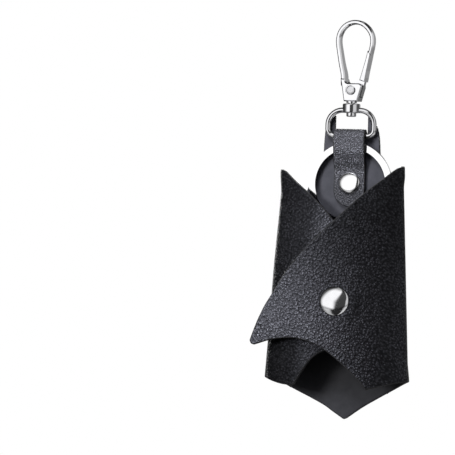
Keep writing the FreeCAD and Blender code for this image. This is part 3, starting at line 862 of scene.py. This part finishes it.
def floor_material():
    """Pale floor that runs out into white and throws little of its light back up at the case."""
    made, g = new_material("floor_pale")
    mottle = g.noise(Scale=6.0, Detail=2.0)
    pale = g.add("BsdfPrincipled", Base_Color=g.ramp(mottle, [(0.3, 0.90), (0.7, 0.93)]),
                 Roughness=0.9)
    ground = g.add("TexCoord").outputs["Object"]
    # painted light: what reflections and bounce see, by bearing: near black straight in front of the
    # case, with brighter patches to the front left, right and back right that the metal reflects
    painted_bounce = g.ramp(g.bearing(g.add("SeparateXYZ", ground)), by_bearing([
        (-180, 0.10), (-60, 0.12), (-40, 0.26), (-24, 0.22), (-17, 0.012), (20, 0.012),
        (34, 0.42), (85, 0.40), (120, 0.12), (150, 0.34), (180, 0.10)]))
    reach = g.vector("LENGTH", ground).outputs["Value"]
    white = g.add("Emission", Color=(1, 1, 1, 1))
    seen = g.add("MixShader", g.ramp(reach, [(0.12, 0.25), (0.72, 1.0)]), pale, white)
    camera_ray = g.add("LightPath").outputs["Is Camera Ray"]
    dim = g.add("BsdfDiffuse", Color=painted_bounce)
    g.add("OutputMaterial", g.add("MixShader", camera_ray, dim, seen))
    return made


def build_floor():
    disc = bmesh.new()
    bmesh.ops.create_circle(disc, cap_ends=True, segments=96, radius=FLOOR_RADIUS)
    mesh = bpy.data.meshes.new("floor")
    disc.to_mesh(mesh)
    disc.free()
    made = add_object("floor", mesh)
    made.location = (0, 0, FLOOR_Z)
    mesh.materials.append(floor_material())
    return made


floor = build_floor()


# ---------------------------------------------------------------- light
def build_world():
    """Reflections see bright boards with dark flags between, the camera sees plain white."""
    world = bpy.data.worlds.new("studio")
    bpy.context.scene.world = world
    world.use_nodes = True
    g = Graph(world.node_tree)
    where = g.add("SeparateXYZ", g.add("TexCoord").outputs["Generated"])
    bearing = g.bearing(where)
    # 0 straight down, 0.5 level, 1 straight up
    height = g.math("MULTIPLY_ADD", g.math("ARCSINE", where.outputs["Z"]), 1.0 / math.pi, 0.5)
    # the boards lean sideways above 0.555
    above = g.math("MAXIMUM", g.math("SUBTRACT", height, 0.555), 0.0)
    around = g.ramp(g.math("MULTIPLY_ADD", above, -0.45, bearing), by_bearing([
        (-180, 0.10), (-152, 0.30), (-138, 0.06), (-96, 0.06), (-74, 0.12), (-46, 1.0),
        (-13, 1.0), (-8, 0.05), (30, 0.05), (38, 0.60), (72, 0.55), (88, 0.10), (124, 0.06),
        (137, 0.50), (152, 0.55), (160, 0.10), (180, 0.10)]))
    upward = g.ramp(height, [
        (0.0, 0.15), (0.22, 0.20), (0.33, 0.25), (0.40, 0.45), (0.450, 0.45), (0.478, 1.0),
        (0.72, 1.0), (0.82, 0.35), (1.0, 0.20)])
    # the lit table below and to the right, caught only by the lower right rims
    table = g.math("MULTIPLY",
                   g.ramp(height, [(0.10, 0.0), (0.20, 1.0), (0.36, 1.0), (0.40, 0.0)]),
                   g.ramp(bearing, by_bearing([(22, 0.0), (38, 0.9), (85, 0.9), (110, 0.0)])))
    boards = g.math("MAXIMUM", g.math("MULTIPLY", around, upward), table)
    sky = g.ramp(height, [(0.0, 0.25), (0.45, 0.5), (0.75, 1.0)])
    reflected = g.add("Background", Color=boards, Strength=1.20)
    ambient = g.add("Background", Color=sky, Strength=0.10)
    backdrop = g.add("Background", Color=(1, 1, 1, 1), Strength=1.0)
    ray = g.add("LightPath").outputs
    lighting = g.add("MixShader", ray["Is Glossy Ray"], ambient, reflected)
    g.add("OutputWorld", g.add("MixShader", ray["Is Camera Ray"], lighting, backdrop))


def soft_box(name, azimuth, elevation, reach, size, power):
    """An area lamp aimed at the case."""
    azimuth, elevation = math.radians(azimuth), math.radians(elevation)
    target = Vector((0, 0, 0.01))
    direction = Vector((math.sin(azimuth) * math.cos(elevation),
                        -math.cos(azimuth) * math.cos(elevation), math.sin(elevation)))
    data = bpy.data.lights.new(name, "AREA")
    data.energy = power
    data.size = size
    lamp = add_object(name, data)
    lamp.location = direction * reach + target
    lamp.rotation_euler = (target - lamp.location).to_track_quat("-Z", "Y").to_euler()
    lamp.visible_camera = False
    return lamp


# name, azimuth in degrees (0 straight ahead of the case, positive to its right), elevation in
# degrees, distance in m, size in m, power in W
LAMPS = [
    ("key_left", -31, 12, 0.85, 0.22, 6.0),
    ("top_front", -12, 48, 0.85, 0.30, 7.0),
    ("rim_back", 130, 40, 0.70, 0.30, 3.0),
    ("fill_right", 78, 22, 0.85, 0.30, 1.6),
    ("back_fill", 170, 24, 0.85, 0.35, 6.5),
    ("rim_left", -128, 12, 0.85, 0.25, 4.0),
]

build_world()
# the lamps light the leather and the floor, the metal shows only the boards
lit = bpy.data.collections.new("lit_by_lamps")
for receiver in (case_leather, wing_leather, strap_leather, floor):
    lit.objects.link(receiver)
for row in LAMPS:
    soft_box(*row).light_linking.receiver_collection = lit


# ---------------------------------------------------------------- camera
def build_camera():
    """A long lens, swung to the right of straight ahead and rolled a little."""
    swing, roll = math.radians(14.0), math.radians(1.6)
    reach = 1.3
    half_view = 0.0812          # half the width seen at the aim point
    across_view = Vector((math.cos(swing), math.sin(swing), 0))
    upright = Vector((0, 0, 1))
    backward = Vector((math.sin(swing), -math.cos(swing), 0))
    right = across_view * math.cos(roll) + upright * math.sin(roll)
    up = upright * math.cos(roll) - across_view * math.sin(roll)
    aim = (across_view * -43.66 + upright * 21.1) * MM
    data = bpy.data.cameras.new("camera")
    data.sensor_width = 36.0
    data.lens = data.sensor_width / 2 * reach / half_view
    data.clip_end = 20.0
    camera = add_object("camera", data)
    pose = Matrix((right, up, backward)).transposed().to_4x4()
    pose.translation = aim + backward * reach
    camera.matrix_world = pose
    bpy.context.scene.camera = camera


build_camera()
view = bpy.context.scene.view_settings
view.view_transform = "Standard"
view.look = "None"
view.exposure = 0.0
